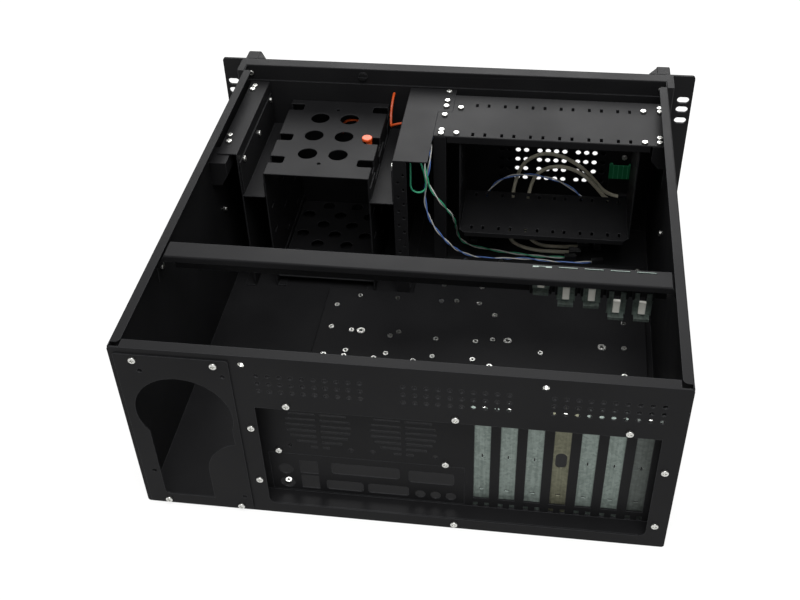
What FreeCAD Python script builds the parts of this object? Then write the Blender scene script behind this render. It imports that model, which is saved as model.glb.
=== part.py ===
import FreeCAD, Part
import math
import os

os.makedirs("parts", exist_ok=True)

# Empty rackmount server case, four rack units high, with its lid taken off.
# Frame: origin on the underside of the floor, midway between the side walls.
# +Z is up, +Y points to the rear, -Y to the front, +X to the power supply side.

Vector = FreeCAD.Vector

# ---- body ----
case_height = 177.0
half_width = 213.0
rear_y = 220.0                # rear face of the rear panel
ear_y = -220.0                # back of the rack ears
tub_front_y = -208.0
sheet = 1.2                   # body sheet steel
thin_sheet = 0.8              # io shield, slot covers and guides
slide_gap = 0.3               # clearance of a moving piece
hole_gap = 0.1                # clearance of a screw in its hole
wall_fold = 8.0               # side wall's inward fold at the top
wall_fold_front = -197.0
wall_fold_rear = 214.0
bottom_bend = 2.0

# ---- front ----
bezel_front_y = -222.5
bezel_face = 2.5
front_wall_y = -206.0         # rear face of the inner front wall
front_wall_gap = 16.0         # from the wall's top edge up to the case's top
front_wall_top = case_height - front_wall_gap
front_ledge_half = half_width - 13.0
front_foot = 10.0

# ---- motherboard tray ----
tray_top = 8.0
tray_left = 110.0
tray_right = 7.0 - half_width
tray_front = -126.0
tray_rear = 203.5
tray_step_x = 24.0            # left of this the tray starts further back, behind the drive cage
tray_step_y = -62.0
tray_hole_radius = 2.0
tray_key_radius = 3.2
board_hole_columns = [97.3, -60.1, -184.6]
board_hole_rows = [192.1, 37.2, -35.2]
nut_thread_radius = 1.25
nut_flange_radius = 2.5
nut_flange = 1.0
nut_depth = 5.0               # below the tray's top face
key_nut_radius = 3.9
key_nut_places = [(67.2, 0.6), (-75.0, 0.6), (-163.9, 0.6)]

# ---- rear panel ----
window_left = 106.5
window_right = -197.0
window_bottom = 11.5
window_top = 124.0
window_corner = 6.0
vent_radius = 1.9
vent_rows = [142.4, 150.3, 158.1]
vent_starts = [101.3, -8.0, -117.6]
vent_pitch = 8.6
vent_columns = 10
lid_nut_radius = 2.6
lid_nut_outer = 4.2
lid_nut_depth = 5.0
lid_nut_drop = 9.1
lid_nut_z = case_height - lid_nut_drop
lid_nut_places = [(111.7, lid_nut_z), (-110.9, lid_nut_z)]

# ---- recessed rear pan ----
pan_left = 117.0
pan_right = 5.4 - half_width
pan_bottom = 10.3
pan_top = 131.4
pan_rear_y = 205.0            # rear face of the recessed plate
pan_side_fold = 9.0
pan_top_fold = 7.4
pan_bottom_fold = 9.0
fan_centres = [63.1, -4.2]
fan_z = 92.2
grille_radius = 26.0
grille_pitch = 6.2
grille_slot = 2.3
grille_bar = 4.0
fan_hole_offset = 25.0
fan_hole_radius = 2.2
pan_screw_places = [(97.5, 60.9), (-37.3, 60.2)]
shield_left = 106.3
shield_width = 158.75
shield_bottom = 13.0
shield_height = 44.45
slot_count = 7
slot_first_x = -66.03
slot_pitch = 20.32
slot_width = 12.7
slot_bottom = 22.0
slot_top = 112.0
slot_notch_offset = 4.6
slot_notch_width = 4.0
cover_width = 18.4
cover_tongue_width = 13.4
cover_bottom = 11.0
cover_tab = 9.0               # length of the fold over the pan's top wall

# ---- power supply plate ----
psu_left = half_width - 3.7
psu_right = 121.0
psu_bottom = 1.5
psu_top = case_height - 5.5
psu_round_x = 163.5
psu_round_z = 110.5
psu_round_radius = 38.7
psu_cut_left = 195.0
psu_cut_right = 127.0
psu_cut_bottom = 13.0
psu_lobe_x = 117.0
psu_lobe_z = 46.0
psu_lobe_radius = 36.0
psu_hole_radius = 2.0
psu_hole_places = [(190.9, 155.4), (126.9, 155.4), (200.0, 41.0), (126.9, 17.6)]

# ---- screws: pan heads ----
head_radius = 2.9
head_height = 1.8
shank_radius = 1.4
shank_length = 4.0
stud_radius = 4.5
psu_screw_z = psu_top - 5.2
psu_screw_places = [(194.5, psu_screw_z), (132.4, psu_screw_z), (193.3, 5.9), (131.1, 5.6)]
pan_flange_screw_places = [(81.5, 128.4), (-46.5, 128.4), (-173.3, 128.4), (111.8, 101.0),
                           (111.8, 40.3), (-203.0, 89.1), (-203.0, 25.9), (-45.5, 5.2)]

# ---- cross brace ----
brace_front = 91.0
brace_rear = 110.3
brace_gap = 0.6               # below the case's top
brace_top = case_height - brace_gap
brace_flat_half = half_width - 10.0
brace_slope_half = half_width - 5.0
brace_rise = 7.4              # of its middle over its ends
brace_end_z = brace_top - brace_rise
brace_front_drop = 26.4
brace_rear_drop = 5.5
brace_end_drop = 20.0
brace_flare = 5.2

# ---- card clamps, sliding up and down on the cross brace ----
clamp_first_x = -102.7
clamp_drops = [22.5, 32.9, 32.9, 43.4, 43.4]
clamp_feet_z = [brace_top - drop for drop in clamp_drops]
clamp_width = 15.0
clamp_height = 22.5
clamp_plate = 1.0
clamp_foot_depth = 7.0
clamp_fork = 5.6
clamp_fork_low = 3.0
clamp_lip = 1.0
clamp_pad_height = 11.5
clamp_pad_depth = 3.0

# ---- shelf level carrying both drive cages ----
shelf_drop = 15.0
shelf_top = case_height - shelf_drop
support_front = -201.0
left_wall_x = half_width - 25.0
left_shelf_edge = half_width - 6.0
left_support_rear = -64.5
centre_wall_x = 41.2
centre_shelf_edge = 8.3
centre_support_rear = -67.0
centre_flange = 13.0
tongue_edge = -6.0
tongue_rear = -158.0
support_foot = 12.0
hanger_ledge_z = 115.0
hanger_front = -198.0
hanger_rear = -64.0
hanger_outer_top = shelf_top - 11.0
hanger_inner_top = hanger_ledge_z + 13.0

# ---- drive cage on the left ----
cage_left = 166.5
cage_right = 64.0
cage_front = -204.6
cage_rear = -67.0
cage_top = 140.0
cage_foot = 9.0
cage_hole_radius = 9.5
cage_hole_columns = [130.5, 100.3]
cage_hole_rows = [-171.0, -138.0, -105.0]
cage_notch_rows = [-191.0, -133.0, -92.3]
cage_notch_depth = 15.5
cage_notch_width = 12.5
cage_floor_top = 12.0
cage_floor_hole_radius = 6.7
floor_pair_columns = [135.4, 104.0]
floor_pair_rows = [-195.8, -161.5, -127.0, -92.5]
floor_trio_columns = [154.6, 119.7, 86.8]
floor_trio_rows = [-178.9, -144.2, -109.7]

# ---- drive bay on the right ----
bracket_right = 2.4 - half_width
bracket_front = -190.0
bracket_rear = -113.0
bracket_lip = 6.0
bay_left = -17.0
bay_right = -187.0
bay_front = -184.0
bay_rear = -110.0
bay_floor_top = 52.0
bay_flange = 9.0
bay_chamfer = 6.0
bay_slot_columns = [-29.3, -40.8, -56.8, -68.3, -84.0, -95.7, -111.4, -122.9, -138.7, -150.3, -166.0, -177.4]
bay_slot_width = 2.8
bay_slot_length = 6.0
bracket_slot_rows = [-172.0, -118.5]
bay_floor_slot_rows = [-177.0, -119.0]
post_left = 8.0
post_right = -4.0
post_depth = 11.0
rail_drop = 44.0
rail_width = 14.0

# ---- rack ears and handles ----
ear_width = 28.3
rack_half = half_width + ear_width
ear_thickness = 2.5
ear_corner = 3.0
ear_cheek = 6.6
ear_cheek_rear = -196.0
ear_slot_x = rack_half - 8.75
ear_slot_length = 12.0
ear_slot_width = 7.0
ear_slot_offsets = [61.5, 50.8, 38.1, -38.1, -50.8, -61.5]
ear_slot_heights = [case_height / 2 + offset for offset in ear_slot_offsets]
handle_width = 13.0
handle_inner_x = half_width - 9.0
handle_outer_x = handle_inner_x + handle_width
handle_near_y = -239.0
handle_far_y = -262.0
handle_shoulder = 27.0
handle_bar = 12.0
handle_web = 8.0

# ---- front controls ----
button_x = 24.0
power_z = 140.0
reset_z = 118.0
power_radius = 7.0
reset_radius = 3.5
power_travel = 2.5
reset_travel = 1.5
cap_proud = 3.0
cap_length = 8.0
switch_length = 13.0
switch_flange = 2.0
switch_nose = 0.4
led_x = 12.0
led_heights = [134.0, 124.0]
led_radius = 1.5
board_left = -166.0
board_right = -189.5
board_bottom = 30.0
board_top = 81.0
board_rear_y = -200.0
board_thickness = 1.6
usb_x = -177.5
usb_heights = [61.0, 74.0]
usb_width = 13.2
usb_height = 5.8

# ---- front vents ----
wall_vent_groups = [-53.3, -93.1, -132.8]
wall_vent_pitch = 8.6
wall_vent_columns = 4
wall_vent_radius = 2.7
wall_vent_rows = [91.0, 79.6, 68.2, 56.8]
bezel_slot_spans = [(-84.0, -65.5), (-123.5, -88.5), (-154.0, -128.0)]
bezel_slot_half = 3.2
bezel_slot_drop = 9.6         # how far each bezel slot lies below its row of holes in the wall


# ---- shape helpers ----
def block(x0, x1, y0, y1, z0, z1):
    low = Vector(min(x0, x1), min(y0, y1), min(z0, z1))
    return Part.makeBox(abs(x1 - x0), abs(y1 - y0), abs(z1 - z0), low)


def rod_x(y, z, x0, x1, radius):
    return Part.makeCylinder(radius, abs(x1 - x0), Vector(min(x0, x1), y, z), Vector(1, 0, 0))


def rod_y(x, z, y0, y1, radius):
    return Part.makeCylinder(radius, abs(y1 - y0), Vector(x, min(y0, y1), z), Vector(0, 1, 0))


def rod_z(x, y, z0, z1, radius):
    return Part.makeCylinder(radius, abs(z1 - z0), Vector(x, y, min(z0, z1)), Vector(0, 0, 1))


def prism(points, along):
    corners = [Vector(*p) for p in points]
    outline = Part.makePolygon(corners + [corners[0]])
    return Part.Face(outline).extrude(Vector(*along))



def stadium_x(x, z, y0, y1, length, width):
    straight = (length - width) / 2
    middle = block(x - straight, x + straight, y0, y1, z - width / 2, z + width / 2)
    left = rod_y(x - straight, z, y0, y1, width / 2)
    right = rod_y(x + straight, z, y0, y1, width / 2)
    return middle.fuse([left, right])


def stadium_z(x, z, y0, y1, length, width):
    straight = (length - width) / 2
    middle = block(x - width / 2, x + width / 2, y0, y1, z - straight, z + straight)
    low = rod_y(x, z - straight, y0, y1, width / 2)
    high = rod_y(x, z + straight, y0, y1, width / 2)
    return middle.fuse([low, high])


def joined(first, *others):
    return first.fuse(list(others)).removeSplitter()


def edge_runs(edge, axis):
    box = edge.BoundBox
    spans = {"x": box.XLength, "y": box.YLength, "z": box.ZLength}
    own = spans.pop(axis)
    return own > 0.5 and max(spans.values()) < 1e-6


def rounded(solid, radius, chosen):
    return solid.makeFillet(radius, [edge for edge in solid.Edges if chosen(edge)])


def pan_head(x, y, z, axis, reach=shank_length):
    """A pan-head screw with a cross recess. Its head stands on (x, y, z) and faces along axis."""
    head = Part.makeCylinder(head_radius, head_height)
    head = head.makeFillet(0.7, [head.Edges[0]])
    shank = Part.makeCylinder(shank_radius, reach, Vector(0, 0, -reach))
    screw = head.fuse(shank)
    bar = Part.makeBox(3.4, 0.8, 1.0, Vector(-1.7, -0.4, head_height - 0.8))
    cross = Part.makeBox(0.8, 3.4, 1.0, Vector(-0.4, -1.7, head_height - 0.8))
    screw = screw.cut([bar, cross])
    turn = FreeCAD.Rotation(Vector(0, 0, 1), Vector(*axis))
    screw.Placement = FreeCAD.Placement(Vector(x, y, z), turn)
    return screw


def hole_for(x, y, z, axis):
    """Clearance hole for a screw standing at (x, y, z) along axis."""
    centre = Vector(x, y, z)
    direction = Vector(*axis)
    return Part.makeCylinder(shank_radius + hole_gap, 8.0, centre - direction * 4.5, direction)


def save(name, shape):
    shape.exportStep("parts/" + name + ".step")
    print(name, len(shape.Solids), "solid", round(shape.Volume, 1), "valid", shape.isValid())


# ---- screw places shared by the screws and the sheets they go through ----
up = (0, 0, 1)
to_rear = (0, 1, 0)
left_shelf_screws = [(half_width - inset, y)
                     for inset, y in ((12.0, -191.0), (11.0, -184.0), (10.0, -96.0), (12.0, -85.0))]
tongue_screws = [(1.0, -196.0), (1.0, -178.0), (1.0, -167.5)]
bracket_left_screws = [(1.0, -151.0), (1.0, -123.0), (1.0, -117.0)]
bracket_right_screws = [(inset - half_width, y)
                        for inset, y in ((6.8, -180.0), (6.8, -173.5), (8.5, -126.0), (9.0, -118.0))]
bay_cage_screws = [(-190.4, -117.5), (-190.4, -173.4), (-13.6, -165.6), (-13.6, -118.9)]
hanger_screws = [(-191.0, hanger_outer_top - 4.2), (-137.1, hanger_outer_top - 11.2),
                 (-80.1, hanger_outer_top - 3.8)]
frame_screw_x = half_width - 4.6
frame_screw_z = case_height - 9.0
frame_screws = [(frame_screw_x, frame_screw_z), (-frame_screw_x, frame_screw_z)]
stud_x = 91.0
stud_z = case_height - 8.0
board_screw = (-180.6, 88.0)
tray_screws = [(tray_right + 6.0, -118.0), (tray_right + 6.0, 60.0), (104.0, 60.0), (104.0, 150.0),
               (tray_right + 6.0, 150.0)]


# ---- tub: floor and both side walls, one folded sheet ----
def make_chassis_tub():
    floor = block(-half_width, half_width, tub_front_y, rear_y - sheet, 0, sheet)
    walls = []
    for side in (-1, 1):
        walls.append(block(side * (half_width - sheet), side * half_width, tub_front_y, rear_y - sheet,
                           0, case_height))
        walls.append(block(side * (half_width - wall_fold), side * half_width, wall_fold_front,
                           wall_fold_rear, case_height - sheet, case_height))
    tub = joined(floor, *walls)
    tub = rounded(tub, bottom_bend, lambda e: edge_runs(e, "y") and e.BoundBox.ZMax < 0.01)
    tub = rounded(tub, 1.0, lambda e: edge_runs(e, "y") and e.BoundBox.ZMin > case_height - 0.01 and
                  abs(e.BoundBox.XMin) > half_width - 0.01)
    tub = rounded(tub, 4.0, lambda e: edge_runs(e, "z") and e.BoundBox.ZMin > case_height - sheet - 0.01 and
                  abs(abs(e.BoundBox.XMin) - half_width + wall_fold) < 0.01)
    holes = []
    for side in (-1, 1):
        for y, z in ((16.6, 91.0), (-74.7, 90.5)):
            holes.append(rod_x(y, z, side * (half_width - 3), side * (half_width + 3), shank_radius +
                               hole_gap))
        holes.append(hole_for(side * (half_width - sheet), 100.6, brace_end_z - 11, (side, 0, 0)))
    return tub.cut(holes)


# ---- motherboard tray ----
def nut_places():
    first_rows = [(-24.0, -119.4), (-60.6, -120.0), (-24.0, -85.8), (11.2, -86.4), (-5.8, -76.5),
                  (-44.3, -76.5)]
    middle_rows = [(76.3, -51.3), (38.6, -51.3), (-5.8, -51.1), (-20.9, -52.8), (-43.8, -51.3), (97.3, -2.4),
                   (76.6, 0.7), (30.6, -1.3), (38.1, 5.0), (-6.4, 5.0), (-44.6, 4.7), (-60.6, 0.5),
                   (-184.6, -0.1)]
    rear_rows = [(-106.6, 14.5), (77.5, 29.8), (38.8, 30.1), (-5.5, 29.5), (-43.8, 29.8), (77.9, 37.2),
                 (49.3, 37.3), (11.8, 37.2)]
    board_holes = [(x, y) for x in board_hole_columns for y in board_hole_rows]
    return first_rows + middle_rows + rear_rows + board_holes


def make_motherboard_tray():
    low = tray_top - sheet
    wide = block(tray_right, tray_step_x, tray_front, tray_rear, low, tray_top)
    left = block(tray_step_x, tray_left, tray_step_y, tray_rear, low, tray_top)
    legs = [block(tray_right, tray_right + sheet, tray_front, tray_rear, sheet, tray_top),
            block(tray_left - sheet, tray_left, tray_step_y, tray_rear, sheet, tray_top),
            block(tray_right, tray_step_x, tray_front, tray_front + sheet, sheet, tray_top),
            block(tray_step_x, tray_left, tray_step_y, tray_step_y + sheet, sheet, tray_top),
            block(tray_step_x - sheet, tray_step_x, tray_front, tray_step_y + sheet, sheet, tray_top),
            block(tray_right, tray_left, tray_rear - sheet, tray_rear, sheet, tray_top)]
    tray = joined(wide, left, *legs)
    tray = rounded(tray, 1.0, lambda e: e.BoundBox.ZMin > tray_top - 0.01 and
                   (edge_runs(e, "y") or edge_runs(e, "x")))
    holes = []
    for x, y in nut_places():
        holes.append(rod_z(x, y, low - 1, tray_top + 1, tray_hole_radius))
    for x, y in key_nut_places:
        holes.append(rod_z(x, y, low - 1, tray_top + 1, tray_key_radius))
    for x, y in tray_screws:
        holes.append(hole_for(x, y, tray_top, up))
    return tray.cut(holes)


# ---- rear panel ----
def make_rear_panel():
    inner_y = rear_y - sheet
    panel = block(-half_width, half_width, inner_y, rear_y, 0, case_height)
    panel = rounded(panel, 2.5, lambda e: edge_runs(e, "y"))
    fold_half = half_width - wall_fold - 1
    fold = block(-fold_half, fold_half, inner_y - 8, inner_y, case_height - sheet, case_height)
    tabs = []
    for side in (-1, 1):
        inner_face = half_width - sheet
        tabs.append(block(side * (inner_face - sheet), side * inner_face, inner_y - 10, inner_y, 12,
                          case_height - 9))
    panel = joined(panel, fold, *tabs)
    y0 = inner_y - 1
    y1 = rear_y + 1
    window = block(window_right, window_left, y0, y1, window_bottom, window_top)
    window = rounded(window, window_corner, lambda e: edge_runs(e, "y") and
                     e.BoundBox.ZMax < window_bottom + 1)
    psu_window = block(psu_right + 4, psu_left - 5, y0, y1, psu_bottom + 9, psu_top - 10)
    holes = [window, psu_window]
    for start in vent_starts:
        for column in range(vent_columns):
            for z in vent_rows:
                holes.append(rod_y(start - column * vent_pitch, z, y0, y1, vent_radius))
    for x, z in psu_screw_places + pan_flange_screw_places:
        holes.append(hole_for(x, rear_y, z, to_rear))
    for x, z in lid_nut_places:
        holes.append(rod_y(x, z, y0, y1, lid_nut_radius))
    return panel.cut(holes)


def make_psu_plate():
    y0 = rear_y - 1
    y1 = rear_y + sheet + 1
    plate = block(psu_right, psu_left, rear_y, rear_y + sheet, psu_bottom, psu_top)
    plate = rounded(plate, 2.0, lambda e: edge_runs(e, "y"))
    opening = rod_y(psu_round_x, psu_round_z, y0, y1, psu_round_radius)
    lower = block(psu_cut_right, psu_cut_left, y0, y1, psu_cut_bottom, psu_round_z)
    lower = rounded(lower, 4.0, lambda e: edge_runs(e, "y") and e.BoundBox.ZMax < psu_cut_bottom + 1)
    opening = opening.fuse(lower)
    lobe = rod_y(psu_lobe_x, psu_lobe_z, y0 - 1, y1 + 1, psu_lobe_radius)
    lobe_foot = block(psu_cut_right - 1, psu_lobe_x + psu_lobe_radius, y0 - 1, y1 + 1, psu_cut_bottom - 1,
                      psu_lobe_z)
    opening = opening.cut([lobe, lobe_foot])
    holes = [opening, rod_y(200.0, 117.0, y0, y1, 1.0)]
    for x, z in psu_hole_places:
        holes.append(rod_y(x, z, y0, y1, psu_hole_radius))
    for x, z in psu_screw_places:
        holes.append(hole_for(x, rear_y + sheet, z, to_rear))
    return plate.cut(holes)


# ---- recessed pan with fan grilles, io aperture and card slots ----
def slot_x(i):
    return slot_first_x - i * slot_pitch


def grille_slots(centre_x, y0, y1):
    slots = []
    rows = int(grille_radius / grille_pitch)
    for row in range(-rows, rows + 1):
        offset = row * grille_pitch
        reach = math.sqrt(grille_radius ** 2 - offset ** 2)
        low = fan_z + offset - grille_slot / 2
        high = fan_z + offset + grille_slot / 2
        slots.append(block(centre_x - reach, centre_x - grille_bar / 2, y0, y1, low, high))
        slots.append(block(centre_x + grille_bar / 2, centre_x + reach, y0, y1, low, high))
    for dx in (-fan_hole_offset, fan_hole_offset):
        for dz in (-fan_hole_offset, fan_hole_offset):
            slots.append(rod_y(centre_x + dx, fan_z + dz, y0, y1, fan_hole_radius))
    return slots


def make_rear_pan():
    flange_rear = rear_y - sheet
    flange_front = flange_rear - sheet
    plate_front = pan_rear_y - sheet
    plate = block(pan_right, pan_left, plate_front, pan_rear_y, pan_bottom, pan_top)
    walls = [block(pan_right, pan_left, plate_front, flange_rear, pan_top - sheet, pan_top),
             block(pan_right, pan_left, plate_front, flange_rear, pan_bottom, pan_bottom + sheet),
             block(pan_left - sheet, pan_left, plate_front, flange_rear, pan_bottom, pan_top),
             block(pan_right, pan_right + sheet, plate_front, flange_rear, pan_bottom, pan_top)]
    flanges = [block(pan_right, pan_left, flange_front, flange_rear, pan_top - pan_top_fold, pan_top),
               block(pan_left - pan_side_fold, pan_left, flange_front, flange_rear, pan_bottom, pan_top),
               block(pan_right, pan_right + pan_side_fold, flange_front, flange_rear, pan_bottom, pan_top),
               block(pan_right + 20, pan_left - 9, flange_front, flange_rear,
                     pan_bottom + sheet - pan_bottom_fold, pan_bottom + sheet)]
    pan = joined(plate, *walls, *flanges)
    y0 = plate_front - 1
    y1 = pan_rear_y + 1
    holes = [block(shield_left - shield_width, shield_left, y0, y1, shield_bottom, shield_bottom +
                   shield_height)]
    for i in range(slot_count):
        holes.append(block(slot_x(i) - slot_width / 2, slot_x(i) + slot_width / 2, y0, y1, slot_bottom,
                           slot_top))
        for offset in (-slot_notch_offset, slot_notch_offset):
            centre = slot_x(i) + offset
            holes.append(block(centre - slot_notch_width / 2, centre + slot_notch_width / 2, y0, y1, 12.5,
                               17))
        holes.append(hole_for(slot_x(i), plate_front + 5, pan_top + thin_sheet, up))
    for centre_x in fan_centres:
        holes += grille_slots(centre_x, y0, y1)
    for x, z in pan_flange_screw_places:
        holes.append(hole_for(x, rear_y, z, to_rear))
    for x, z in pan_screw_places:
        holes.append(hole_for(x, pan_rear_y, z, to_rear))
    return pan.cut(holes)


def make_io_shield():
    right = shield_left - shield_width
    top = shield_bottom + shield_height
    plate_front = pan_rear_y - sheet
    fit = 0.2
    face = block(right + fit, shield_left - fit, pan_rear_y - thin_sheet, pan_rear_y, shield_bottom + fit,
                 top - fit)
    web = block(right + fit, shield_left - fit, plate_front - thin_sheet, pan_rear_y, shield_bottom + fit,
                top - fit)
    web_hole = block(right + fit + thin_sheet, shield_left - fit - thin_sheet, plate_front - 2,
                     pan_rear_y - thin_sheet, shield_bottom + fit + thin_sheet, top - fit - thin_sheet)
    rim = block(right - 1.2, shield_left + 1.2, plate_front - thin_sheet, plate_front, shield_bottom - 1.2,
                top + 1.2)
    rim_hole = block(right + 1, shield_left - 1, plate_front - 2, plate_front + 1, shield_bottom + 1, top -
                     1)
    shield = joined(face, web.cut(web_hole), rim.cut(rim_hole))
    y0 = pan_rear_y - 2
    y1 = pan_rear_y + 1
    holes = [rod_y(93.7, 38.1, y0, y1, 6.0), rod_y(93.7, 21.6, y0, y1, 6.0)]
    holes.append(block(67.0, 81.7, y0, y1, 34.6, 49.6))
    holes.append(block(67.0, 81.7, y0, y1, 16.4, 32.0))
    d_ports = [(0.0, 55.8, 36.8, 49.6), (30.4, 61.0, 17.2, 28.2), (-7.1, 26.5, 17.2, 28.2),
               (-44.0, -7.5, 34.8, 48.4)]
    for x0, x1, z0, z1 in d_ports:
        holes.append(rounded(block(x0, x1, y0, y1, z0, z1), 2.5, lambda e: edge_runs(e, "y")))
    for x in (-16.5, -29.0, -41.5):
        holes.append(rod_y(x, 21.0, y0, y1, 4.2))
    return shield.cut(holes)


def make_slot_cover(i):
    x = slot_x(i)
    rear = pan_rear_y - sheet
    front = rear - thin_sheet
    plate = block(x - cover_width / 2, x + cover_width / 2, front, rear, cover_bottom + 10, pan_top +
                  thin_sheet)
    tongue = block(x - cover_tongue_width / 2, x + cover_tongue_width / 2, front, rear, cover_bottom,
                   cover_bottom + 10)
    tab = block(x - cover_width / 2, x + cover_width / 2, front, rear + cover_tab, pan_top, pan_top +
                thin_sheet)
    cover = joined(plate, tongue, tab)
    y0 = front - 1
    y1 = rear + 1
    holes = [hole_for(x, rear + 5, pan_top + thin_sheet, up), stadium_x(x, 33.0, y0, y1, 4.4, 1.8)]
    if i == 3:
        holes.append(stadium_z(x, 74.0, y0, y1, 17.0, 8.8))
    else:
        holes.append(block(x - 2.2, x + 2.2, y0, y1, 71.9, 72.9))
        holes.append(block(x - 0.5, x + 0.5, y0, y1, 70.2, 74.6))
    return cover.cut(holes)


# ---- cross brace, guides and card clamps ----
guide_y = brace_front + sheet
clamp_y = guide_y + thin_sheet + slide_gap
lip_y = clamp_y + clamp_plate + slide_gap


def clamp_x(i):
    return clamp_first_x - i * slot_pitch


def brace_line(drop, y):
    end = half_width - sheet
    return [(-end, y, brace_end_z - drop), (-brace_slope_half, y, brace_end_z - drop),
            (-brace_flat_half, y, brace_top - drop), (brace_flat_half, y, brace_top - drop),
            (brace_slope_half, y, brace_end_z - drop), (end, y, brace_end_z - drop)]


def brace_ribbon(y, depth, thickness):
    """The brace's folded outline, seen from the front, made thickness high and depth long."""
    outline = brace_line(0, y) + brace_line(thickness, y)[::-1]
    return prism(outline, (0, depth, 0))


def make_cross_brace():
    top = brace_ribbon(brace_front, brace_rear - brace_front, sheet)
    rear_lip = brace_ribbon(brace_rear - sheet, sheet, brace_rear_drop)
    front = block(-brace_flat_half + 1, brace_flat_half - 1, brace_front, brace_front + sheet,
                  brace_top - brace_front_drop, brace_top)
    ends = []
    for side in (-1, 1):
        face = side * (half_width - sheet)
        ends.append(block(face - side * sheet, face, brace_front, brace_rear, brace_end_z - brace_end_drop,
                          brace_end_z))
        corner = [(side * (brace_flat_half - 6), brace_rear, brace_top - sheet),
                  (side * brace_flat_half, brace_rear, brace_top - sheet),
                  (side * brace_flat_half, brace_rear + brace_flare, brace_top - sheet)]
        ends.append(prism(corner, (0, 0, sheet)))
    brace = joined(top, rear_lip, front, *ends)
    brace = rounded(brace, 1.5, lambda e: edge_runs(e, "x") and e.BoundBox.XLength > 300 and
                    e.BoundBox.ZMin > brace_top - 0.01 and e.BoundBox.YMin > brace_rear - 0.01)
    lips = []
    for i in range(len(clamp_feet_z)):
        for side in (-1, 1):
            near = clamp_x(i) + side * (clamp_width / 2 + slide_gap)
            low = brace_top - brace_front_drop
            lips.append(block(near, near + side, guide_y, lip_y + 1, low, brace_top - sheet))
            lips.append(block(near - side * clamp_lip, near + side, lip_y, lip_y + 1, low, brace_top -
                              sheet))
    brace = joined(brace, *lips)
    holes = []
    for i in range(len(clamp_feet_z)):
        half = clamp_width / 2 + slide_gap
        holes.append(block(clamp_x(i) - half, clamp_x(i) + half, guide_y, lip_y, brace_top - 2, brace_top +
                           1))
    for side in (-1, 1):
        holes.append(hole_for(side * (half_width - 2 * sheet), 100.6, brace_end_z - 11, (side, 0, 0)))
    return brace.cut(holes)


def make_clamp_guides():
    guides = []
    for i in range(len(clamp_feet_z)):
        half = clamp_width / 2
        guides.append(block(clamp_x(i) - half, clamp_x(i) + half, guide_y, guide_y + thin_sheet,
                            brace_top - 18, brace_top - 0.2))
    return Part.makeCompound(guides)


def make_card_clamp(i):
    x = clamp_x(i)
    z = clamp_feet_z[i]
    half = clamp_width / 2
    foot_half = half - clamp_lip - slide_gap
    plate = block(x - half, x + half, clamp_y, clamp_y + clamp_plate, z, z + clamp_height)
    foot = block(x - foot_half, x + foot_half, clamp_y, clamp_y + clamp_foot_depth, z, z + clamp_plate)
    toe = block(x - foot_half, x + foot_half, clamp_y + clamp_foot_depth - clamp_plate, clamp_y +
                clamp_foot_depth,
                z - 1.5, z)
    fork = block(x - clamp_fork / 2, x + clamp_fork / 2, clamp_y - 1, clamp_y + clamp_plate + 1, z +
                 clamp_fork_low, z + clamp_height + 1)
    return joined(plate, foot, toe).cut(fork)


def make_clamp_pad(i):
    x = clamp_x(i)
    z = clamp_feet_z[i] + clamp_fork_low
    half = clamp_fork / 2
    pad = block(x - half, x + half, clamp_y, clamp_y + clamp_pad_depth, z, z + clamp_pad_height)
    return rounded(pad, 0.8, lambda e: edge_runs(e, "z") and e.BoundBox.YMin > clamp_y + clamp_pad_depth -
                   0.01)


# ---- front wall and bezel ----
def front_openings(y0, y1, clearance):
    holes = [rod_y(button_x, power_z, y0, y1, power_radius + clearance),
             rod_y(button_x, reset_z, y0, y1, reset_radius + clearance)]
    for z in led_heights:
        holes.append(rod_y(led_x, z, y0, y1, led_radius + hole_gap))
    for z in usb_heights:
        holes.append(block(usb_x - usb_width / 2 - hole_gap, usb_x + usb_width / 2 + hole_gap, y0, y1,
                           z - usb_height / 2 - hole_gap, z + usb_height / 2 + hole_gap))
    return holes


def make_front_wall():
    front = front_wall_y - sheet
    side = half_width - sheet
    wall = block(-side, side, front, front_wall_y, sheet, front_wall_top)
    ledge = block(-front_ledge_half, front_ledge_half, tub_front_y, front_wall_y, front_wall_top - sheet,
                  front_wall_top)
    foot = block(-side + 6, side - 6, front, front_wall_y + front_foot, sheet, 2 * sheet)
    foot_gaps = []
    for x0, x1 in ((cage_right - 6, cage_left + 6), (left_wall_x - 2, left_wall_x + 20), (20, 44)):
        foot_gaps.append(block(x0, x1, front_wall_y, front_wall_y + 12, 0, 4))
    wall = joined(wall, ledge, foot.cut(foot_gaps))
    holes = front_openings(front - 1, front_wall_y + 1, slide_gap)
    for z in wall_vent_rows:
        for start in wall_vent_groups:
            for column in range(wall_vent_columns):
                x = start - column * wall_vent_pitch
                holes.append(rod_y(x, z, front - 1, front_wall_y + 1, wall_vent_radius))
    for x in (-192.0, -100.0, 0.0):
        holes.append(hole_for(x, front_wall_y + 6, 2 * sheet, up))
    holes.append(hole_for(board_screw[0], front_wall_y, board_screw[1], to_rear))
    return wall.cut(holes)


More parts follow.
